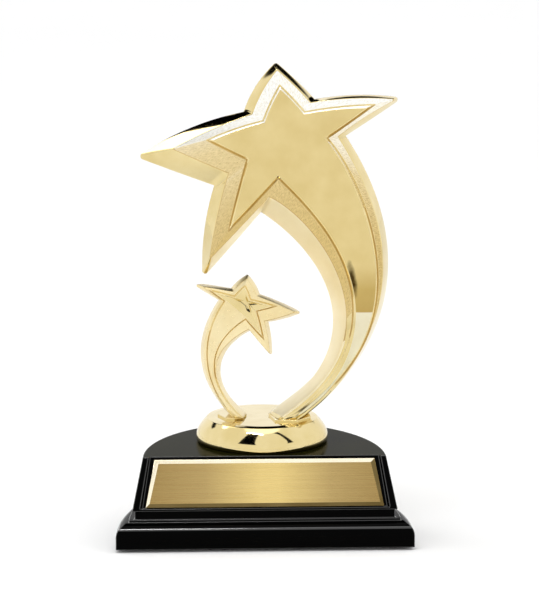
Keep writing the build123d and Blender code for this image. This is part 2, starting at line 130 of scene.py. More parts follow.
SMALL_SEAM = {
    "outer": [(-14.5, 77.9), (-22.9, 65.6), (-23.4, 51.8), (-10.9, FOOT_Z)],
    "inner": [(-5.4, FOOT_Z), (-17.6, 49.3), (-16.3, 61.1), (-3.9, 67.4)],
    "star": [
        (3.4, 58.5), (2.2, 70.4), (13.3, 73.4), (-0.7, 79.8),
        (-4.8, 86.6), (-10.4, 81.9), (-23.3, 83.5),
    ],
    "bows": [0.1, 0.4, 0.4, 0.3, 0.5, 0.4, 0.1, 0.1],
    "tip_radius": 0.5,
}
SMALL_BORDER = {
    "outer": [(-13.8, 78.4), (-21.9, 66.5), (-22.0, 52.0), (-9.9, FOOT_Z)],
    "inner": [(-6.4, FOOT_Z), (-19.4, 50.8), (-18.5, 61.8), (-4.5, 68.7)],
    "star": [
        (2.4, 60.4), (0.6, 71.4), (10.9, 74.4), (-1.7, 79.8),
        (-5.0, 85.6), (-9.9, 81.3), (-19.9, 83.1),
    ],
    "bows": [0.1, 0.3, 0.3, 0.2, 0.3, 0.3, 0.1, 0.1],
    "tip_radius": 0.2,
}
SMALL_PANEL = {
    "outer": [(-12.6, 78.3), (-20.6, 67.0), (-21.2, 52.0), (-9.7, FOOT_Z)],
    "inner": [(-6.9, FOOT_Z), (-19.9, 51.6), (-18.8, 63.8), (-5.6, 72.2)],
    "star": [
        (0.3, 65.6), (-1.9, 74.9), (4.4, 76.5), (-3.9, 78.8),
        (-5.7, 83.5), (-9.3, 79.9), (-17.5, 82.0),
    ],
    "bows": [0.1, 0.1, 0.1, 0.1, 0.1, 0.1, 0.1, 0.1],
    "tip_radius": 0.1,
}
# Low pads on the disc under the two feet, (x, y) of the front half
LARGE_PAD = [(2.2, 0.0), (4.0, -9.8), (11.4, -10.6), (16.2, -4.5), (16.2, 0.0)]
SMALL_PAD = [(-15.0, 0.0), (-12.3, -6.6), (-9.4, -6.4), (-5.2, 0.0)]
CURVES = ("outer", "inner", "star")
CURVE_STEPS = 56      # along each side of a tail
SIDE_STEPS = 10       # along each side of a star
TIP_STEPS = 6         # round each tip of a star
FOOT_STEPS = 8        # across the tail
# Painted light on the hatched border: its colour is lighter higher up and on faces turned up, standing in
# for how the light falls.
PAINTED_LIGHT_SIDE = (-0.3, 0.0, 0.95)    # painted light: the hatched border's colour is lightest where it faces this way
PAINTED_LIGHT_RISE = (90.0, 150.0)         # and the painted light lightens it between these heights
PAINTED_LIGHT_LOW = 0.2
PAINTED_LIGHT_BY_HEIGHT = 0.55
PAINTED_LIGHT_BY_SIDE = 0.25


# ---------------------------------------------------------------- outlines
def bezier(control, steps):
    """Points along a Bezier curve, both ends included."""
    t = np.linspace(0.0, 1.0, steps + 1)[:, None]
    points = [np.repeat(np.array(point, float)[None], steps + 1, 0) for point in control]
    while len(points) > 1:
        points = [(1 - t) * a + t * b for a, b in zip(points, points[1:])]
    return points[0]


def winding(ring):
    """1 for corners listed anticlockwise, -1 for clockwise."""
    x, y = ring[:, 0], ring[:, 1]
    return 1.0 if (x * np.roll(y, -1) - y * np.roll(x, -1)).sum() > 0 else -1.0


def unit(way):
    """A direction of length 1."""
    return way / np.linalg.norm(way)


def inset(outline, amount):
    """The outline moved inwards: each corner and control point moves along its mitre."""
    ring = np.array([point for part in CURVES for point in outline[part]], float)
    side = winding(ring)
    moved = []
    for before, here, after in zip(np.roll(ring, 1, 0), ring, np.roll(ring, -1, 0)):
        ways = [unit(here - before), unit(after - here)]
        normals = [np.array((-way[1], way[0])) * side for way in ways]
        moved.append(here + (normals[0] + normals[1]) * amount / (1 + normals[0] @ normals[1]))
    return outline | {part: [moved.pop(0) for _ in outline[part]] for part in CURVES}


def side_direction(way, bow, t):
    """Direction of a bowed side at t, from 0 to 1 along it. bow is signed, along the side's left."""
    length = np.linalg.norm(way)
    left = np.array((-way[1], way[0])) / length
    return unit(way / length + left * 4 * bow / length * (1 - 2 * t))


def star_sides(outline):
    """Points round the star from the inner curve's end to the outer curve's start, with round tips."""
    star = np.array(outline["star"], float)
    outwards = -winding(star)
    corners = [np.array(outline["inner"][-1], float), *star, np.array(outline["outer"][0], float)]
    ways = [end - start for start, end in zip(corners, corners[1:])]
    bows = [bow * outwards for bow in outline["bows"]]
    tips = range(1, len(corners) - 1, 2)
    cuts = [0.0] * len(corners)
    halves = [0.0] * len(corners)
    for k in tips:
        back = -side_direction(ways[k - 1], bows[k - 1], 1.0)
        ahead = side_direction(ways[k], bows[k], 0.0)
        halves[k] = np.arccos(back @ ahead) / 2
        cuts[k] = outline["tip_radius"] / np.tan(halves[k])
    sides = []
    for k, (start, way, bow) in enumerate(zip(corners, ways, bows)):
        length = np.linalg.norm(way)
        t = np.linspace(cuts[k] / length, 1 - cuts[k + 1] / length, SIDE_STEPS + 1)[:, None]
        left = np.array((-way[1], way[0])) / length
        sides.append(start + way * t + left * bow * 4 * t * (1 - t))
    points = list(sides[0])
    for k in range(1, len(sides)):
        if k in tips:
            start, end = points[-1], sides[k][0]
            in_way = side_direction(ways[k - 1], bows[k - 1], 1 - cuts[k] / np.linalg.norm(ways[k - 1]))
            out_way = side_direction(ways[k], bows[k], cuts[k] / np.linalg.norm(ways[k]))
            reach = np.linalg.solve(np.stack([in_way, out_way], 1), end - start)[0]
            points.extend(arc(start, start + in_way * reach, end, halves[k], TIP_STEPS)[1:])
        points.extend(sides[k][1:])
    return points[1:-1]


def arc(start, corner, end, half_angle, steps):
    """Round corner between two sides that meet at twice half_angle."""
    t = np.linspace(0.0, 1.0, steps + 1)[:, None]
    weight = np.sin(half_angle)
    low, mid, high = (1 - t) ** 2, 2 * t * (1 - t) * weight, t * t
    return (low * start + mid * corner + high * end) / (low + mid + high)


def ring_points(outline):
    """One closed ring: outer curve down, foot across, inner curve up, star. All have as many points."""
    outer = bezier(outline["outer"], CURVE_STEPS)
    inner = bezier(outline["inner"], CURVE_STEPS)
    foot = bezier([outer[-1], inner[0]], FOOT_STEPS)
    return np.array([*outer, *foot[1:-1], *inner, *star_sides(outline)])


OUTER_END = CURVE_STEPS
INNER_START = CURVE_STEPS + FOOT_STEPS
INNER_END = 2 * CURVE_STEPS + FOOT_STEPS


def smooth(low, high, value):
    """0 below low, 1 above high, and a smooth ramp between. low may be the larger one."""
    t = np.clip((value - low) / (high - low), 0.0, 1.0)
    return t * t * (3 - 2 * t)


# ---------------------------------------------------------------- meshes
def piece(name, mesh_data, replaced, materials):
    """A finished piece: its object, what it stands for and its materials."""
    mesh = bpy.data.meshes.new(name)
    mesh_data.to_mesh(mesh)
    mesh_data.free()
    for polygon in mesh.polygons:
        polygon.use_smooth = True
    made = bpy.data.objects.new(name, mesh)
    bpy.context.scene.collection.objects.link(made)
    for material in materials:
        mesh.materials.append(material)
    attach(made, BODY)
    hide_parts(*replaced)
    return made


def add_bevel(made, width, angle, segments=3):
    """Small rounded edges wherever faces meet at more than an angle."""
    bevel = made.modifiers.new("Edges", "BEVEL")
    bevel.width = width * MM
    bevel.segments = segments
    bevel.limit_method = "ANGLE"
    bevel.angle_limit = radians(angle)
    bevel.miter_outer = "MITER_ARC"
    bevel.use_clamp_overlap = True


def add_weighted_normals(made):
    """Large faces keep their own shading next to small rounded edges."""
    weighted = made.modifiers.new("Shading", "WEIGHTED_NORMAL")
    weighted.mode = "FACE_AREA"
    weighted.weight = 50
    weighted.keep_sharp = True


NEARLY_HALF = 0.45         # a rounded corner takes less than half of a short side


def rounded(corners, radii, steps=4):
    """A line through corners with the inner ones rounded: its points, and the corner each one belongs to."""
    points, marks = [corners[0]], [0]
    for k in range(1, len(corners) - 1):
        here = corners[k]
        back, ahead = corners[k - 1] - here, corners[k + 1] - here
        back_length, ahead_length = np.linalg.norm(back), np.linalg.norm(ahead)
        start = here + back * min(radii[k] / back_length, NEARLY_HALF)
        end = here + ahead * min(radii[k] / ahead_length, NEARLY_HALF)
        points.extend(bezier([start, here, end], steps))
        marks.extend([k] * (steps + 1))
    return [*points, corners[-1]], [*marks, len(corners) - 1]


WALL_STEPS = 6
MIRROR, HATCHED, SATIN, SOFT, SHADED = 0, 1, 2, 3, 4
LIP = 0.12            # height of the parting line's lip beside the seam
STRIP_LIP = 0.1       # rounding where the border strip drops into the moat round the panel
FACES_UP = 0.3        # an edge whose outward direction rises more than this gets a painted highlight on its panel bevel; below it, its moat can get painted shade
RIDGE, BORDER_END, MOAT, TOP_EDGE = 1, 2, 3, 4      # corners of a rib after its wall
DISH_CENTRE = (-5.4, 77.8)
DISH_SIZES = (0.85, 0.7, 0.55, 0.4, 0.27, 0.15)
DISH_DEPTH = 1.6


def add_dished_star(mesh, edge, toward_front):
    """The small star's face, sunk towards its middle in rings, so that it mirrors more of the studio."""
    centre = Vector((DISH_CENTRE[0] * MM, 0.0, DISH_CENTRE[1] * MM))
    nearest = min(edge, key=lambda vert: (Vector((vert.co.x, 0.0, vert.co.z)) - centre).length)
    centre.y = nearest.co.y
    rings = [edge]
    for size in DISH_SIZES:
        sink = Vector((0.0, toward_front * DISH_DEPTH * MM * (1 - size) ** 2, 0.0))
        rings.append([mesh.verts.new(centre.lerp(vert.co, size) - sink) for vert in edge])
    for outer, inner in zip(rings, rings[1:]):
        for k in range(len(edge)):
            face = mesh.faces.new((outer[k - 1], outer[k], inner[k], inner[k - 1]))
            face.material_index = SOFT
    mesh.faces.new(rings[-1]).material_index = SOFT


def on_face(flat, lift, shape):
    """Points of the leaning front plane, lifted off it towards the front."""
    lean = radians(shape["lean"])
    up = flat[:, 1] - FOOT_Z
    y = -shape["foot_half"] + up * sin(lean) - lift * cos(lean)
    z = FOOT_Z + up * cos(lean) + lift * sin(lean)
    return np.stack([flat[:, 0], y, z], 1)


def distances(points):
    """How far along a line each of its points is."""
    return np.concatenate([[0.0], np.cumsum(np.linalg.norm(np.diff(points, axis=0), axis=1))])


def lay_ribs(outlines, shape):
    """The ribs' points, and each rib's outward direction, height and place along the border."""
    seam = ring_points(outlines["seam"])
    border = ring_points(outlines["border"])
    panel = outlines["panel"]
    top = inset(panel, shape["bevel"])
    middle = inset(panel, shape["bevel"] + shape["land"])
    fade = smooth(*shape["foot_fade"], border[:, 1])
    seam_line = np.stack([seam[:, 0], np.zeros(len(seam)), seam[:, 1]], 1)
    border_line = on_face(border, -shape["border_drop"] * fade, shape)
    corner_lines = [
        border_line,
        on_face(ring_points(inset(panel, -shape["moat_width"])), 0.0, shape),
        on_face(ring_points(panel), -shape["moat_depth"] * fade, shape),
        on_face(ring_points(top), shape["rise"], shape),
        on_face(ring_points(middle), shape["rise"], shape),
    ]
    tangent = np.roll(seam_line, -1, 0) - np.roll(seam_line, 1, 0)
    outward = np.cross((0.0, 1.0, 0.0), tangent) * winding(seam)
    outward /= np.linalg.norm(outward, axis=1)[:, None]
    ridges = shape["ridge"] + (1 - smooth(*shape["ridge_fade"], border[:, 1])) * shape["foot_ridge"]

    ribs = []
    for i, (start, out) in enumerate(zip(seam_line, outward)):
        chord = border_line[i] - start
        length = np.linalg.norm(chord)
        bulge = unit(out - (out @ chord) * chord / length**2) * length * shape["crown"] * 4
        steps = np.linspace(LIP / max(length, 1.0), 1.0, WALL_STEPS + 1)[:-1]
        wall = [start + chord * t + bulge * t * (1 - t) for t in steps]
        corners = [wall[-1], *[line[i] for line in corner_lines]]
        line, marks = rounded(corners, [0.0, ridges[i], STRIP_LIP, shape["valley"], shape["edge"], 0.0])
        ribs.append([start - out * shape["groove"], *wall[:-1], *line])
    return {
        "points": np.array(ribs), "outward": outward, "height": border[:, 1],
        "along": distances(border_line), "corner": [0] * WALL_STEPS + marks,
    }


def rib_verts(mesh, ribs, turn):
    """The ribs' vertices. Each one stores its place along and across the strips, and the border's painted
    light, higher up and on faces turned towards the light side.
    """
    rib_place = mesh.verts.layers.float_vector.new("rib")
    light = np.array(PAINTED_LIGHT_SIDE)
    rows = []
    for points, out, along in zip(ribs["points"], ribs["outward"], ribs["along"]):
        painted_light = PAINTED_LIGHT_LOW + PAINTED_LIGHT_BY_HEIGHT * smooth(*PAINTED_LIGHT_RISE, points[0][2])
        painted_light += PAINTED_LIGHT_BY_SIDE * max(0.0, out @ light)
        row = []
        for (x, y, z), across in zip(points, distances(points)):
            vert = mesh.verts.new((x * MM, y * turn * MM, z * MM))
            vert[rib_place] = (along * MM, across * MM, painted_light)
            row.append(vert)
        rows.append(row)
    return rows


def strip_finish(i, k, corner, painted_lit, height, shape):
    """Material index of the strip after rib i, between its points k and k + 1."""
    pair = (corner[k], corner[k + 1])
    in_moat = pair in ((BORDER_END, MOAT), (MOAT, MOAT))
    under_ridge = i > INNER_START and pair == (RIDGE, RIDGE) and corner[k + 3] == BORDER_END
    # painted shade: darker gold in the moat and under the inner ridge where the edge faces down
    if (in_moat or under_ridge) and not painted_lit and height > shape["painted_shade_mask"]:
        return SHADED
    # painted highlight: the panel's bevel takes the light hatched border finish where the edge faces up
    painted_highlight_bevel = painted_lit and pair == (MOAT, TOP_EDGE)
    if (painted_highlight_bevel or pair == (RIDGE, BORDER_END)) and height > shape["border_mask"]:
        return HATCHED
    if corner[k + 1] > TOP_EDGE and height > shape["panel_mask"]:
        return SATIN
    # the large star's inner tail wall gets the lighter painted-light copy of the gold
    inner_wall = INNER_START < i < INNER_END + SIDE_STEPS and corner[k + 1] <= RIDGE
    if inner_wall and height > shape["soft_painted_light_mask"]:
        return SOFT
    return MIRROR


def add_panel(mesh, edge, turn, shape):
    """Faces inside the panel's edge: a strip down the tail, crowned towards the foot, and the star."""
    right_side = edge[: OUTER_END + 1]
    left_side = edge[INNER_START : INNER_END + 1][::-1]
    strip = []
    for right, left in zip(right_side[:-1], left_side[:-1]):
        a, b = right.co, left.co
        height = (a.z + b.z) / 2 / MM
        crown = shape["panel_crown"] * (1 - smooth(*shape["crown_from"], height)) * (b - a).length
        row = [right]
        for step in range(1, FOOT_STEPS):
            t = step / FOOT_STEPS
            point = a.lerp(b, t)
            point.y -= turn * crown * 4 * t * (1 - t)
            row.append(mesh.verts.new(point))
        strip.append([*row, left])
    strip.append(edge[OUTER_END : INNER_START + 1])
    for upper, lower in zip(strip, strip[1:]):
        for k in range(FOOT_STEPS):
            face = mesh.faces.new((upper[k], upper[k + 1], lower[k + 1], lower[k]))
            height = face.calc_center_median().z / MM
            face.material_index = SATIN if height > shape["panel_mask"] else MIRROR
    star_edge = [*edge[INNER_END:], *strip[0][:-1]]
    if shape["dish"]:
        add_dished_star(mesh, star_edge, -turn)
    else:
        mesh.faces.new(star_edge).material_index = SATIN


def figure_half(outlines, shape, back):
    """Half of a figure as a mesh of ribs. back mirrors it across the seam."""
    ribs = lay_ribs(outlines, shape)
    corner, heights = ribs["corner"], ribs["height"]
    turn = -1.0 if back else 1.0
    mesh = bmesh.new()
    verts = rib_verts(mesh, ribs, turn)
    for i in range(len(verts)):
        j = (i + 1) % len(verts)
        height = (heights[i] + heights[j]) / 2
        painted_lit = ribs["outward"][i][2] > FACES_UP
        for k in range(len(corner) - 1):
            face = mesh.faces.new((verts[i][k], verts[j][k], verts[j][k + 1], verts[i][k + 1]))
            face.material_index = strip_finish(i, k, corner, painted_lit, height, shape)
    add_panel(mesh, [row[-1] for row in verts], turn, shape)
    mesh.faces.new([row[0] for row in verts])
    bmesh.ops.recalc_face_normals(mesh, faces=mesh.faces[:])
    return mesh


def lathe(profile, segments=128):
    """Surface of revolution about Z from (radius, height) points, in millimetres."""
    mesh = bmesh.new()
    turn = [2 * pi * k / segments for k in range(segments)]
    rings = []
    for radius, height in profile:
        if radius == 0:
            rings.append([mesh.verts.new((0.0, 0.0, height * MM))])
            continue
        places = [Vector((radius * cos(a), radius * sin(a), height)) * MM for a in turn]
        rings.append([mesh.verts.new(place) for place in places])
    for low, high in zip(rings, rings[1:]):
        for k in range(segments):
            j = (k + 1) % segments
            corners = [low[k % len(low)], low[j % len(low)], high[j % len(high)], high[k % len(high)]]
            unique = list(dict.fromkeys(corners))
            if len(unique) > 2:
                mesh.faces.new(unique)
    bmesh.ops.recalc_face_normals(mesh, faces=mesh.faces[:])
    return mesh


ARCH_STEPS = 96


def arch_ring(z, half_width, front, back):
    """Plan of the base at one height: straight front between two corners, half-ellipse behind."""
    angle = np.linspace(0.0, pi, ARCH_STEPS + 1)
    return [Vector((half_width * cos(a), front + (back - front) * sin(a), z)) * MM for a in angle]


# ---------------------------------------------------------------- materials
def new_material(name):
    """A node material with its shader and node tree."""
    material = bpy.data.materials.new(name)
    material.use_nodes = True
    tree = material.node_tree
    return material, tree, tree.nodes["Principled BSDF"]


def noise(tree, scale, detail=4.0, stretch=(1.0, 1.0, 1.0), source="Object", name=None):
    """Noise over the object's own coordinates, or over a stored attribute."""
    texture = tree.nodes.new("ShaderNodeTexNoise")
    texture.inputs["Scale"].default_value = scale
    texture.inputs["Detail"].default_value = detail
    mapping = tree.nodes.new("ShaderNodeMapping")
    mapping.inputs["Scale"].default_value = stretch
    if source == "Attribute":
        where = tree.nodes.new("ShaderNodeAttribute")
        where.attribute_name = name
        tree.links.new(where.outputs["Vector"], mapping.inputs["Vector"])
    else:
        where = tree.nodes.new("ShaderNodeTexCoord")
        tree.links.new(where.outputs["Object"], mapping.inputs["Vector"])
    tree.links.new(mapping.outputs["Vector"], texture.inputs["Vector"])
    return texture, mapping


def ramp(tree, source, low, high, stops):
    """Colour ramp between two values of a source."""
    node = tree.nodes.new("ShaderNodeMapRange")
    node.inputs["From Min"].default_value = low
    node.inputs["From Max"].default_value = high
    tree.links.new(source, node.inputs["Value"])
    colours = tree.nodes.new("ShaderNodeValToRGB")
    elements = colours.color_ramp.elements
    elements[0].position, elements[0].color = stops[0][0], (*stops[0][1], 1.0)
    elements[1].position, elements[1].color = stops[-1][0], (*stops[-1][1], 1.0)
    for position, colour in stops[1:-1]:
        elements.new(position).color = (*colour, 1.0)
    tree.links.new(node.outputs["Result"], colours.inputs["Fac"])
    return colours.outputs["Color"]


def spread(tree, source, low, high, out_low, out_high):
    """A value mapped from one range to another, clamped."""
    node = tree.nodes.new("ShaderNodeMapRange")
    for socket, value in (("From Min", low), ("From Max", high), ("To Min", out_low), ("To Max", out_high)):
        node.inputs[socket].default_value = value
    tree.links.new(source, node.inputs["Value"])
    return node.outputs["Result"]


def maths(tree, operation, a, b=0.0):
    """One maths node; each input is a socket or a number."""
    node = tree.nodes.new("ShaderNodeMath")
    node.operation = operation
    for socket, value in zip(node.inputs, (a, b)):
        if isinstance(value, (int, float)):
            socket.default_value = value
        else:
            tree.links.new(value, socket)
    return node.outputs["Value"]


def bump(tree, shader, height, distance, after=None):
    """Bump on the shader's normal, on top of an earlier bump if there is one."""
    node = tree.nodes.new("ShaderNodeBump")
    node.inputs["Distance"].default_value = distance
    tree.links.new(height, node.inputs["Height"])
    if after is not None:
        tree.links.new(after.outputs["Normal"], node.inputs["Normal"])
    tree.links.new(node.outputs["Normal"], shader.inputs["Normal"])
    return node


def metal(name, dark, light, roughness, wave=0.0, grain=0.0, coat=0.0):
    """Plated metal: a slight drift of tint and roughness, soft waves, and fine grain."""
    material, tree, shader = new_material(name)
    drift, _ = noise(tree, 90.0, 3.0)
    colour = ramp(tree, drift.outputs["Fac"], 0.35, 0.65, [(0.0, dark), (1.0, light)])
    tree.links.new(colour, shader.inputs["Base Color"])
    shader.inputs["Metallic"].default_value = 1.0
    speck, _ = noise(tree, 900.0, 5.0)
    rough = spread(tree, speck.outputs["Fac"], 0.3, 0.7, *roughness)
    tree.links.new(rough, shader.inputs["Roughness"])
    last = None
    if wave:
        ripple, _ = noise(tree, 140.0, 1.0)
        last = bump(tree, shader, ripple.outputs["Fac"], wave * MM)
    if grain:
        fine, _ = noise(tree, 4200.0, 2.0)
        bump(tree, shader, fine.outputs["Fac"], grain * MM, after=last)
    shader.inputs["Coat Weight"].default_value = coat
    shader.inputs["Coat Roughness"].default_value = 0.04
    return material


def paint_light_by_height(material, low, high, tints):
    """Painted light and shade by height: the colour is multiplied by tints placed between two heights, in
    millimetres.
    """
    tree = material.node_tree
    shader = tree.nodes["Principled BSDF"]
    colour = shader.inputs["Base Color"].links[0].from_socket
    place = tree.nodes.new("ShaderNodeTexCoord")
    split = tree.nodes.new("ShaderNodeSeparateXYZ")
    tree.links.new(place.outputs["Object"], split.inputs["Vector"])
    shade = ramp(tree, split.outputs["Z"], low * MM, high * MM, tints)
    tree.links.new(product(tree, colour, shade), shader.inputs["Base Color"])


def product(tree, first, second):
    """Two colours multiplied."""
    mixed = tree.nodes.new("ShaderNodeMix")
    mixed.data_type = "RGBA"
    mixed.blend_type = "MULTIPLY"
    mixed.inputs["Factor"].default_value = 1.0
    tree.links.new(first, mixed.inputs["A"])
    tree.links.new(second, mixed.inputs["B"])
    return mixed.outputs["Result"]


STROKE_TINTS = [(0.0, (0.76, 0.73, 0.65)), (1.0, (1.16, 1.16, 1.16))]
STROKES = ((5600.0, 750.0, 9.0), (5000.0, 860.0, -13.0))      # pitch, length and angle of each direction


def hatched_metal(name, painted_light_tones, roughness, depth):
    """Border finish: fine strokes in two directions, and painted light: lighter where the stored painted
    light is high.
    """
    material, tree, shader = new_material(name)
    shader.inputs["Metallic"].default_value = 1.0
    strokes = []
    for pitch, length, angle in STROKES:
        texture, mapping = noise(tree, 1.0, 2.0, (pitch, length, 0.0), "Attribute", "rib")
        mapping.inputs["Rotation"].default_value = (0.0, 0.0, radians(angle))
        strokes.append(texture.outputs["Fac"])
    both = maths(tree, "ADD", *strokes)
    stored = tree.nodes.new("ShaderNodeAttribute")
    stored.attribute_name = "rib"
    split = tree.nodes.new("ShaderNodeSeparateXYZ")
    tree.links.new(stored.outputs["Vector"], split.inputs["Vector"])
    painted_light = ramp(tree, split.outputs["Z"], 0.0, 1.0, painted_light_tones)
    grain = ramp(tree, both, 0.75, 1.25, STROKE_TINTS)
    tree.links.new(product(tree, painted_light, grain), shader.inputs["Base Color"])
    rough = spread(tree, both, 0.75, 1.25, *roughness)
    tree.links.new(rough, shader.inputs["Roughness"])
    bump(tree, shader, both, depth * MM)
    return material


def plastic(name, colour, roughness, specular, wave=0.0):
    """Moulded plastic: near-black with faint drift, fine roughness and a soft moulded ripple."""
    material, tree, shader = new_material(name)
    drift, _ = noise(tree, 60.0, 3.0)
    darker = tuple(c * 0.7 for c in colour)
    shade = ramp(tree, drift.outputs["Fac"], 0.3, 0.7, [(0.0, darker), (1.0, colour)])
    tree.links.new(shade, shader.inputs["Base Color"])
    speck, _ = noise(tree, 700.0, 4.0)
    rough = spread(tree, speck.outputs["Fac"], 0.3, 0.7, *roughness)
    tree.links.new(rough, shader.inputs["Roughness"])
    shader.inputs["Specular IOR Level"].default_value = specular
    if wave:
        ripple, _ = noise(tree, 110.0, 1.0)
        bump(tree, shader, ripple.outputs["Fac"], wave * MM)
    return material


PAINTED_REFLECTION_RAGGED = 0.9
PAINTED_REFLECTION_FADE = (0.55, 1.5)      # darkest below, gone above


def add_painted_reflection(material, spot, size, shear, tint):
    """A painted dark reflection, fading with noise. Spot and size are (x, z) in millimetres; shear leans it.
    """
    tree = material.node_tree
    shader = tree.nodes["Principled BSDF"]
    colour = shader.inputs["Base Color"].links[0].from_socket
    cloud, mapping = noise(tree, 420.0, 3.0)
    place = mapping.inputs["Vector"].links[0].from_socket
    split = tree.nodes.new("ShaderNodeSeparateXYZ")
    tree.links.new(place, split.inputs["Vector"])
    up = maths(tree, "SUBTRACT", split.outputs["Z"], spot[1] * MM)
    lean = maths(tree, "MULTIPLY", up, shear)
    aside = maths(tree, "SUBTRACT", maths(tree, "SUBTRACT", split.outputs["X"], spot[0] * MM), lean)
    wide = maths(tree, "POWER", maths(tree, "DIVIDE", aside, size[0] * MM), 2.0)
    tall = maths(tree, "POWER", maths(tree, "DIVIDE", up, size[1] * MM), 2.0)
    ragged = maths(tree, "MULTIPLY", cloud.outputs["Fac"], PAINTED_REFLECTION_RAGGED)
    mark = maths(tree, "ADD", maths(tree, "ADD", wide, tall), ragged)
    shade = ramp(tree, mark, *PAINTED_REFLECTION_FADE, [(0.0, tint), (1.0, (1.0, 1.0, 1.0))])
    tree.links.new(product(tree, colour, shade), shader.inputs["Base Color"])


BRUSH_TINTS = [(0.0, (0.86, 0.85, 0.82)), (1.0, (1.0, 1.0, 1.0))]
# painted highlight across the plate: light in the middle, dark towards both ends
PLATE_PAINTED_HIGHLIGHT = [
    (0.0, (0.37, 0.25, 0.09)), (0.25, (0.49, 0.35, 0.14)), (0.48, (0.80, 0.61, 0.24)),
    (0.56, (0.80, 0.61, 0.24)), (0.78, (0.49, 0.35, 0.14)), (1.0, (0.37, 0.25, 0.09)),
]


def brushed_plate(name):
    """Gold plate brushed along its length, with a painted highlight: lightest in the middle, darker towards
    both ends.
    """
    material, tree, shader = new_material(name)
    shader.inputs["Metallic"].default_value = 1.0
    place = tree.nodes.new("ShaderNodeTexCoord")
    split = tree.nodes.new("ShaderNodeSeparateXYZ")
    tree.links.new(place.outputs["Object"], split.inputs["Vector"])
    shade = ramp(tree, split.outputs["X"], -PLATE_LOW_HALF * MM, PLATE_LOW_HALF * MM, PLATE_PAINTED_HIGHLIGHT)
    streak, _ = noise(tree, 1.0, 3.0, (35.0, 2600.0, 2600.0))
    tint = ramp(tree, streak.outputs["Fac"], 0.3, 0.7, BRUSH_TINTS)
    tree.links.new(product(tree, shade, tint), shader.inputs["Base Color"])
    rough = spread(tree, streak.outputs["Fac"], 0.3, 0.7, 0.22, 0.34)
    tree.links.new(rough, shader.inputs["Roughness"])
    bump(tree, shader, streak.outputs["Fac"], 0.004 * MM)
    return material


# ---------------------------------------------------------------- finishes
GOLD_DARK = (0.71, 0.57, 0.26)
GOLD_LIGHT = (0.79, 0.66, 0.35)
mirror_gold = metal("Mirror_gold", GOLD_DARK, GOLD_LIGHT, (0.05, 0.09), wave=0.03, coat=0.15)
satin_gold = metal("Satin_gold", (0.69, 0.54, 0.235), (0.75, 0.605, 0.285), (0.28, 0.34), grain=0.004)
# painted light and shade on the satin panel: lighter and creamier below 75 mm, a painted dark band just
# above, fading out by about 91 mm
paint_light_by_height(satin_gold, 56.0, 94.0, [
    (0.0, (1.06, 1.22, 1.80)), (0.497, (1.08, 1.24, 1.95)), (0.503, (0.66, 0.57, 0.38)),
    (0.70, (0.75, 0.68, 0.50)), (0.92, (1.0, 1.0, 1.0)),
])
# painted reflection: a dark mark on the satin panel, about 86 mm up
add_painted_reflection(satin_gold, (29.7, 86.0), (1.5, 6.5), -0.16, (0.10, 0.08, 0.05))
# painted light: a lighter, creamier and rougher copy of the gold, for the large star's inner tail wall
soft_painted_light_gold = metal("Soft_painted_light_gold", (0.90, 0.79, 0.52), (0.95, 0.85, 0.60), (0.40, 0.48), grain=0.003)
# painted shade: a darker gold for moats and under ridges on edges that face down
shaded_gold = metal("Shaded_gold", (0.52, 0.35, 0.13), (0.62, 0.44, 0.18), (0.3, 0.4))
light_gold = metal("Light_gold", (0.80, 0.65, 0.34), (0.86, 0.73, 0.43), (0.26, 0.34), 0.02, coat=0.1)
# painted light on the border: dark gold where it is low and faces down, near white where it is high and
# faces up
BORDER_PAINTED_LIGHT = [
    (0.0, (0.62, 0.46, 0.17)), (0.2, (0.64, 0.48, 0.20)), (0.5, (0.76, 0.62, 0.34)),
    (0.75, (0.96, 0.93, 0.84)), (1.0, (1.0, 1.0, 0.98)),
]
border_gold = hatched_metal("Hatched_gold", BORDER_PAINTED_LIGHT, (0.24, 0.36), 0.004)
black_gloss = plastic("Black_gloss", (0.0008, 0.0008, 0.0008), (0.06, 0.10), 0.02, wave=0.01)
black_edge = plastic("Black_edge", (0.0012, 0.0011, 0.001), (0.08, 0.14), 0.8)
# painted reflection: the base's top face is a lighter, olive-tinted copy of the black, for the gold and sky
# it mirrors
black_top_painted_reflection = plastic("Black_top_painted_reflection", (0.012, 0.0115, 0.002), (0.10, 0.16), 0.008)

# in the order of MIRROR, HATCHED, SATIN, SOFT and SHADED
GOLD = [mirror_gold, border_gold, satin_gold, soft_painted_light_gold, shaded_gold]
SMALL_GOLD = [light_gold, border_gold, satin_gold, mirror_gold, shaded_gold]

plate_gold = brushed_plate("Plate_gold")
# painted highlight and painted shade: light and dark copies of the gold for the plate's rim
rim_painted_highlight = metal("Rim_painted_highlight", (0.93, 0.84, 0.62), (0.97, 0.89, 0.70), (0.2, 0.3))
rim_painted_shade = metal("Rim_painted_shade", (0.13, 0.09, 0.03), (0.18, 0.13, 0.05), (0.3, 0.4))

# ---------------------------------------------------------------- figures
LARGE = {"seam": LARGE_SEAM, "border": LARGE_BORDER, "panel": LARGE_PANEL}
SMALL = {"seam": SMALL_SEAM, "border": SMALL_BORDER, "panel": SMALL_PANEL}
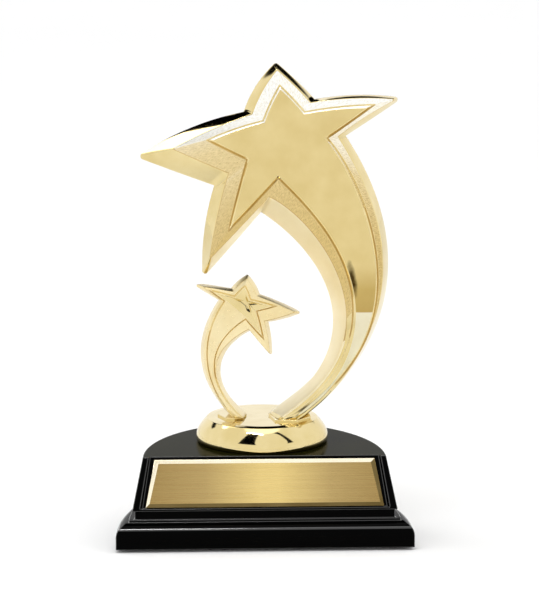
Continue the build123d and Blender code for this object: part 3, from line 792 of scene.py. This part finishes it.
# Millimetres; lean is in degrees, and crown and panel_crown are shares of a width. The front plane stands
# foot_half in front of the seam at the foot and leans back. ridge, valley and edge are roundings. Fades and
# crown_from are pairs of heights, and each mask is the height above which a finish is used.
EVERYWHERE = 40.0
NOWHERE = 200.0
LARGE_SHAPE = {
    "foot_half": LARGE_FOOT_HALF, "lean": LARGE_LEAN, "crown": 0.012, "groove": 0.08,
    "ridge": 0.3, "foot_ridge": 1.4, "ridge_fade": (56.0, 74.0),
    "border_drop": 0.6, "foot_fade": (FOOT_Z, 56.0),
    "moat_width": 0.35, "moat_depth": 0.25, "valley": 0.1,
    "rise": 0.55, "bevel": 0.65, "edge": 0.15, "land": 0.4,
    "panel_crown": 0.05, "crown_from": (62.0, 95.0),
    "border_mask": 72.0, "panel_mask": EVERYWHERE, "soft_painted_light_mask": EVERYWHERE, "painted_shade_mask": 50.0, "dish": False,
}
SMALL_SHAPE = {
    "foot_half": SMALL_FOOT_HALF, "lean": SMALL_LEAN, "crown": 0.02, "groove": 0.06,
    "ridge": 0.2, "foot_ridge": 0.6, "ridge_fade": (48.0, 58.0),
    "border_drop": 0.3, "foot_fade": (FOOT_Z, 48.0),
    "moat_width": 0.25, "moat_depth": 0.2, "valley": 0.06,
    "rise": 0.4, "bevel": 0.25, "edge": 0.12, "land": 0.25,
    "panel_crown": 0.08, "crown_from": (52.0, 74.0),
    "border_mask": NOWHERE, "panel_mask": NOWHERE, "soft_painted_light_mask": NOWHERE, "painted_shade_mask": 46.0, "dish": True,
}
for name, outlines, shape, back, finish in (
    ("Large_star_front", LARGE, LARGE_SHAPE, False, GOLD),
    ("Large_star_back", LARGE, LARGE_SHAPE, True, GOLD),
    ("Small_star_front", SMALL, SMALL_SHAPE, False, SMALL_GOLD),
    ("Small_star_back", SMALL, SMALL_SHAPE, True, SMALL_GOLD),
):
    half = piece(name, figure_half(outlines, shape, back), [name.lower()], finish)
    add_weighted_normals(half)

# ---------------------------------------------------------------- disc
# (radius, height): flat top, shallow shoulder, rounded side, rim, and the hollow underneath
DISC_PROFILE = [
    (0.0, DISC_TOP), (16.2, DISC_TOP), (16.3, 38.29), (17.4, 38.16), (18.45, 38.04),
    (18.55, 37.99), (18.65, 37.88), (19.05, 37.5), (19.65, 36.9), (20.3, 36.15), (20.95, 35.25),
    (21.5, 34.3), (21.9, 33.3), (22.15, 32.4), (22.25, 31.6), (22.25, 31.2), (22.1, 30.7),
    (21.85, 30.3), (21.45, BASE_TOP), (19.45, BASE_TOP), (14.2, 36.3), (0.0, 36.3),
]
disc = piece("Figure_disc", lathe(DISC_PROFILE), ["figure_disc"], [mirror_gold])
add_weighted_normals(disc)

pad_mesh = bmesh.new()
for corners in (LARGE_PAD, SMALL_PAD):
    plan = [*corners, *[(x, -y) for x, y in corners[::-1] if y]]
    low = [pad_mesh.verts.new(Vector((x, y, DISC_TOP - PAD_ROOT)) * MM) for x, y in plan]
    high = [pad_mesh.verts.new(Vector((x, y, FOOT_Z)) * MM) for x, y in plan]
    pad_mesh.faces.new(low)
    pad_mesh.faces.new(high)
    for k in range(len(plan)):
        j = (k + 1) % len(plan)
        pad_mesh.faces.new((low[k], low[j], high[j], high[k]))
bmesh.ops.recalc_face_normals(pad_mesh, faces=pad_mesh.faces[:])
pads = piece("Figure_pads", pad_mesh, [], [mirror_gold])
add_bevel(pads, PAD_EDGE, 20)
add_weighted_normals(pads)

# ---------------------------------------------------------------- base
SLOPE = Vector((0.0, TOP_FRONT - BODY_FRONT, BASE_TOP - NECK_TOP)).normalized()
FRONT_NORMAL = Vector((1.0, 0.0, 0.0)).cross(SLOPE)


def on_front(x, up, lift):
    """Point of the leaning front from millimetres: x across, up its slope, lift out of it."""
    return (Vector((x, BODY_FRONT, NECK_TOP)) + SLOPE * up + FRONT_NORMAL * lift) * MM


base_mesh = bmesh.new()
shoulder = [
    (PLINTH_SHOULDER * (1 - cos(a)), PLINTH_TOP - PLINTH_SHOULDER * (1 - sin(a)))
    for a in np.linspace(0, pi / 2, 9)
]
levels = [arch_ring(CAVITY_ROOF, *CAVITY_PLAN), arch_ring(FOOT_HEIGHT, *CAVITY_PLAN)]
for shrink, z in [(0.0, FOOT_HEIGHT), *shoulder]:
    half_depth = PLINTH_HALF_DEPTH - shrink
    levels.append(arch_ring(z, PLINTH_HALF_WIDTH - shrink, -half_depth, half_depth))
ledge_shrink = PLINTH_SHOULDER + LEDGE_INSET
ledge_half_depth = PLINTH_HALF_DEPTH - ledge_shrink
ledge = (PLINTH_HALF_WIDTH - ledge_shrink, -ledge_half_depth, ledge_half_depth)
neck = (BODY_HALF_WIDTH - NECK_INSET, BODY_FRONT + NECK_INSET, BODY_BACK - NECK_INSET)
for z, plan in ((PLINTH_TOP, ledge), (LEDGE_TOP, ledge), (LEDGE_TOP, neck), (NECK_TOP, neck)):
    levels.append(arch_ring(z, *plan))
levels.append(arch_ring(NECK_TOP, BODY_HALF_WIDTH, BODY_FRONT, BODY_BACK))
levels.append(arch_ring(BASE_TOP, TOP_HALF_WIDTH, TOP_FRONT, TOP_BACK))
rings = [[base_mesh.verts.new(p) for p in level] for level in levels]
for low, high in zip(rings, rings[1:]):
    sides = len(low) if high is not rings[-1] else len(low) - 1
    for k in range(sides):
        j = (k + 1) % len(low)
        base_mesh.faces.new((low[k], low[j], high[j], high[k]))
base_mesh.faces.new(rings[0])
# the front: a frame round the recess, which runs out through the top edge
slope_length = (BASE_TOP - NECK_TOP) / SLOPE.z
floor_length = slope_length + RECESS_DEPTH * FRONT_NORMAL.z / SLOPE.z


def recess_corners(low_half, high_half, low, high, lift):
    """Four corners on the leaning front, anticlockwise from the lower left."""
    places = [(-low_half, low), (low_half, low), (high_half, high), (-high_half, high)]
    return [base_mesh.verts.new(on_front(x, up, lift)) for x, up in places]


m1, m2, m3, m4 = recess_corners(*RECESS_MOUTH, slope_length, 0.0)
f1, f2, f3, f4 = recess_corners(*RECESS_FLOOR, floor_length, -RECESS_DEPTH)
low, high = rings[-2], rings[-1]
for corners in (
    (low[-1], low[0], high[0], m3, m2, m1, m4, high[-1]),
    (m1, f1, f4, m4), (m2, m3, f3, f2), (m1, m2, f2, f1), (f1, f2, f3, f4),
    (*high, m4, f4, f3, m3),
):
    base_mesh.faces.new(corners)
bmesh.ops.recalc_face_normals(base_mesh, faces=base_mesh.faces[:])
BASE_FINISH = [black_gloss, black_top_painted_reflection, black_edge]
TOP_FACE, EDGE = 1, 2
SHOULDER_GLINT = (0.6, 0.7)      # the strip of the shoulder whose normal rises this much catches the light
base = piece("Base_shell", base_mesh, ["base_shell"], BASE_FINISH)
# the top face gets the painted-reflection copy of the black
for polygon in base.data.polygons:
    rise = polygon.normal.z
    if rise > 0.9 and polygon.center.z > (NECK_TOP + BASE_TOP) / 2 * MM:
        polygon.material_index = TOP_FACE
    elif SHOULDER_GLINT[0] < rise < SHOULDER_GLINT[1] and polygon.center.z < PLINTH_TOP * MM:
        polygon.material_index = EDGE
add_bevel(base, BASE_EDGE, 28)
base.modifiers["Edges"].material = EDGE
add_weighted_normals(base)

# ---------------------------------------------------------------- name plate
plate_mesh = bmesh.new()
seat = TAPE_THICKNESS - RECESS_DEPTH
# (how far in from the outline, how far out of the back): edge, rounded corner, rim, face
PLATE_PROFILE = [
    (0.0, 0.0), (0.0, 0.38), (0.06, 0.47), (0.16, 0.52), (0.75, 0.72), (0.95, 0.78), (1.3, PLATE_THICKNESS),
]
plate_rings = []
for shrink, rise in PLATE_PROFILE:
    low_half, high_half = PLATE_LOW_HALF - shrink, PLATE_HIGH_HALF - shrink
    low, high = PLATE_BOTTOM + shrink, PLATE_TOP - shrink
    corners = [(-low_half, low), (low_half, low), (high_half, high), (-high_half, high)]
    plate_rings.append([plate_mesh.verts.new(on_front(x, up, seat + rise)) for x, up in corners])
for low, high in zip(plate_rings, plate_rings[1:]):
    for k in range(4):
        plate_mesh.faces.new((low[k], low[(k + 1) % 4], high[(k + 1) % 4], high[k]))
plate_mesh.faces.new(plate_rings[0])
plate_mesh.faces.new(plate_rings[-1])
bmesh.ops.recalc_face_normals(plate_mesh, faces=plate_mesh.faces[:])
PLATE_FINISH = [plate_gold, rim_painted_highlight, rim_painted_shade]
PAINTED_HIGHLIGHT_RIM, PAINTED_SHADE_RIM = 1, 2
plate = piece("Nameplate", plate_mesh, ["nameplate"], PLATE_FINISH)
for polygon in plate.data.polygons:
    lift = (polygon.center / MM - Vector((0.0, BODY_FRONT, NECK_TOP))).dot(FRONT_NORMAL)
    out = polygon.normal - FRONT_NORMAL * polygon.normal.dot(FRONT_NORMAL)
    # rims facing up or left get the painted highlight, those facing down or right the painted shade
    if out.length > 0.05 and lift > seat + RIM_ROOT:
        polygon.material_index = PAINTED_HIGHLIGHT_RIM if out.z > out.x else PAINTED_SHADE_RIM
add_weighted_normals(plate)

# ---------------------------------------------------------------- carried-over nodes
zinc = metal("Zinc_steel", (0.50, 0.51, 0.53), (0.62, 0.63, 0.65), (0.25, 0.4))
iron = metal("Cast_weight", (0.18, 0.18, 0.18), (0.26, 0.26, 0.27), (0.5, 0.7), grain=0.03)
matte = plastic("Black_matte", (0.02, 0.02, 0.02), (0.45, 0.6), 0.4)
rubber = plastic("Rubber", (0.03, 0.03, 0.03), (0.7, 0.85), 0.3)
tape = plastic("Tape", (0.75, 0.72, 0.62), (0.5, 0.6), 0.4)
FINISH = {
    "gold_plate": plate_gold, "zinc_steel": zinc, "cast_weight": iron, "black_matte": matte,
    "foot_rubber": rubber, "tape": tape, "gold_plating": mirror_gold, "black_gloss": black_gloss,
}
SLOT_NODES = {
    "gold_plating": [
        "large_star_front", "large_star_back", "small_star_front", "small_star_back", "figure_disc",
    ],
    "zinc_steel": ["figure_nut", "fixing_bolt", "flat_washer", "lock_washer", "cover_screws"],
    "black_gloss": ["base_shell"], "black_matte": ["base_cover"], "foot_rubber": ["rubber_feet"],
    "gold_plate": ["nameplate"], "tape": ["nameplate_tape"], "cast_weight": ["ballast"],
}
for slot, names in SLOT_NODES.items():
    for name in names:
        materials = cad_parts[name].data.materials
        materials.clear()
        materials.append(FINISH[slot])

# ---------------------------------------------------------------- floor, light, camera
scene = bpy.context.scene
scene.view_settings.view_transform = "Standard"

floor_mesh = bmesh.new()
bmesh.ops.create_grid(floor_mesh, x_segments=2, y_segments=2, size=12.0)
floor_data = bpy.data.meshes.new("Floor")
floor_mesh.to_mesh(floor_data)
floor_mesh.free()
floor = bpy.data.objects.new("Floor", floor_data)
scene.collection.objects.link(floor)
floor_paint, tree, shader = new_material("Floor_paint")
shader.inputs["Roughness"].default_value = 0.9
shader.inputs["Specular IOR Level"].default_value = 0.0
drift, _ = noise(tree, 3.0)
paint = ramp(tree, drift.outputs["Fac"], 0.3, 0.7, [(0.0, (0.97, 0.97, 0.97)), (1.0, (0.98, 0.98, 0.98))])
tree.links.new(paint, shader.inputs["Base Color"])
floor_data.materials.append(floor_paint)

world = bpy.data.worlds.new("Studio")
scene.world = world
world.use_nodes = True
sky = world.node_tree
background = sky.nodes["Background"]
where = sky.nodes.new("ShaderNodeTexCoord")
parts = sky.nodes.new("ShaderNodeSeparateXYZ")
sky.links.new(where.outputs["Generated"], parts.inputs["Vector"])


def step_up(value, low, high):
    """Smooth ramp from 0 to 1 between two values."""
    node = sky.nodes.new("ShaderNodeMapRange")
    node.interpolation_type = "SMOOTHSTEP"
    node.inputs["From Min"].default_value = low
    node.inputs["From Max"].default_value = high
    sky.links.new(value, node.inputs["Value"])
    return node.outputs["Result"]


def band(value, low, high, soft):
    """1 between low and high, with soft edges."""
    rise = step_up(value, low - soft, low + soft)
    fall = step_up(value, high - soft, high + soft)
    return maths(sky, "SUBTRACT", rise, fall)


CARD_EDGE = (0.92, 1.08)      # a card's edge, as a share of its size, is soft between these


def card(centre, half_width, low, high):
    """1 inside a rounded card of the studio, seen from the object. Degrees."""
    u = maths(sky, "DIVIDE", maths(sky, "SUBTRACT", azimuth, centre), half_width)
    v = maths(sky, "DIVIDE", maths(sky, "SUBTRACT", elevation, (low + high) / 2), (high - low) / 2)
    fourths = [maths(sky, "POWER", maths(sky, "ABSOLUTE", side), 4.0) for side in (u, v)]
    return maths(sky, "SUBTRACT", 1.0, step_up(maths(sky, "ADD", *fourths), *CARD_EDGE))


def dim(light, amount):
    """Darkens a light by a mask."""
    return maths(sky, "MULTIPLY", light, maths(sky, "SUBTRACT", 1.0, amount))


elevation = maths(sky, "MULTIPLY", maths(sky, "ARCSINE", parts.outputs["Z"]), 180 / pi)
front = maths(sky, "MULTIPLY", parts.outputs["Y"], -1.0)
azimuth = maths(sky, "MULTIPLY", maths(sky, "ARCTAN2", parts.outputs["X"], front), 180 / pi)
left_side = maths(sky, "MULTIPLY", azimuth, -1.0)

# Everything below is in degrees: azimuth is 0 in front and grows to the right, elevation is 0 at level.
SKY_LEVEL = 1.1
TOP_GAIN = 0.9                         # the ceiling is brighter than the walls
TOP_EDGES = (67.0, 71.0)
CARDS = ((-88.0, 43.0, 10.0, 90.0), (16.0, 32.0, 18.0, 69.0), (90.0, 34.0, 10.0, 90.0))
GAP_AZIMUTH = (-118.0, 112.0)          # the front is dark here, between the cards
GAP_ELEVATION = (24.0, 68.0)
SOFT_SIDE = 3.0
SOFT_EDGE = 1.5
WINDOW = (-122.0, 13.0, 44.0, 67.0)    # a bright window behind the left shoulder
WINDOW_GAIN = 2.3
BEHIND = (                             # dark wall behind: side, where it starts, low and high
    (left_side, (124.0, 128.0), (28.0, 34.0)), (left_side, (135.0, 138.0), (32.0, 64.0)),
    (left_side, (152.0, 156.0), (26.0, 72.0)), (azimuth, (138.0, 142.0), (22.0, 58.0)),
)
level = maths(sky, "ADD", SKY_LEVEL, maths(sky, "MULTIPLY", step_up(elevation, *TOP_EDGES), TOP_GAIN))
gap_heights = band(elevation, *GAP_ELEVATION, SOFT_EDGE)
gaps = maths(sky, "MULTIPLY", band(azimuth, *GAP_AZIMUTH, SOFT_SIDE), gap_heights)
for place in CARDS:
    gaps = dim(gaps, card(*place))
level = dim(level, gaps)
for side, edges, heights in BEHIND:
    level = dim(level, maths(sky, "MULTIPLY", step_up(side, *edges), band(elevation, *heights, SOFT_EDGE)))
level = maths(sky, "ADD", level, maths(sky, "MULTIPLY", card(*WINDOW), WINDOW_GAIN))
background.inputs["Color"].default_value = (1.0, 1.0, 1.0, 1.0)
sky.links.new(level, background.inputs["Strength"])

# a strip of soft light over the front, in metres and watts
LAMP_SIZE = (0.35, 0.03)
LAMP_SPOT = (-0.15, -0.3, 0.85)
LAMP_AIM = (0.0, 0.0, 0.08)
LAMP_POWER = 1.2
lamp = bpy.data.lights.new("Overhead", "AREA")
lamp.shape = "RECTANGLE"
lamp.size = LAMP_SIZE[0]
lamp.size_y = LAMP_SIZE[1]
lamp.energy = LAMP_POWER
overhead = bpy.data.objects.new("Overhead", lamp)
overhead.location = LAMP_SPOT
overhead.rotation_euler = (Vector(LAMP_AIM) - overhead.location).to_track_quat("-Z", "Y").to_euler()
scene.collection.objects.link(overhead)

camera_data = bpy.data.cameras.new("Camera")
camera_data.lens = CAMERA_LENS
camera_data.sensor_width = 36.0
camera_data.clip_start = 0.05
camera_data.clip_end = 60.0
camera = bpy.data.objects.new("Camera", camera_data)
camera.location = Vector(CAMERA_SPOT) * MM
aim = Vector(CAMERA_TARGET) * MM - camera.location
camera.rotation_euler = aim.to_track_quat("-Z", "Y").to_euler()
scene.collection.objects.link(camera)
scene.camera = camera
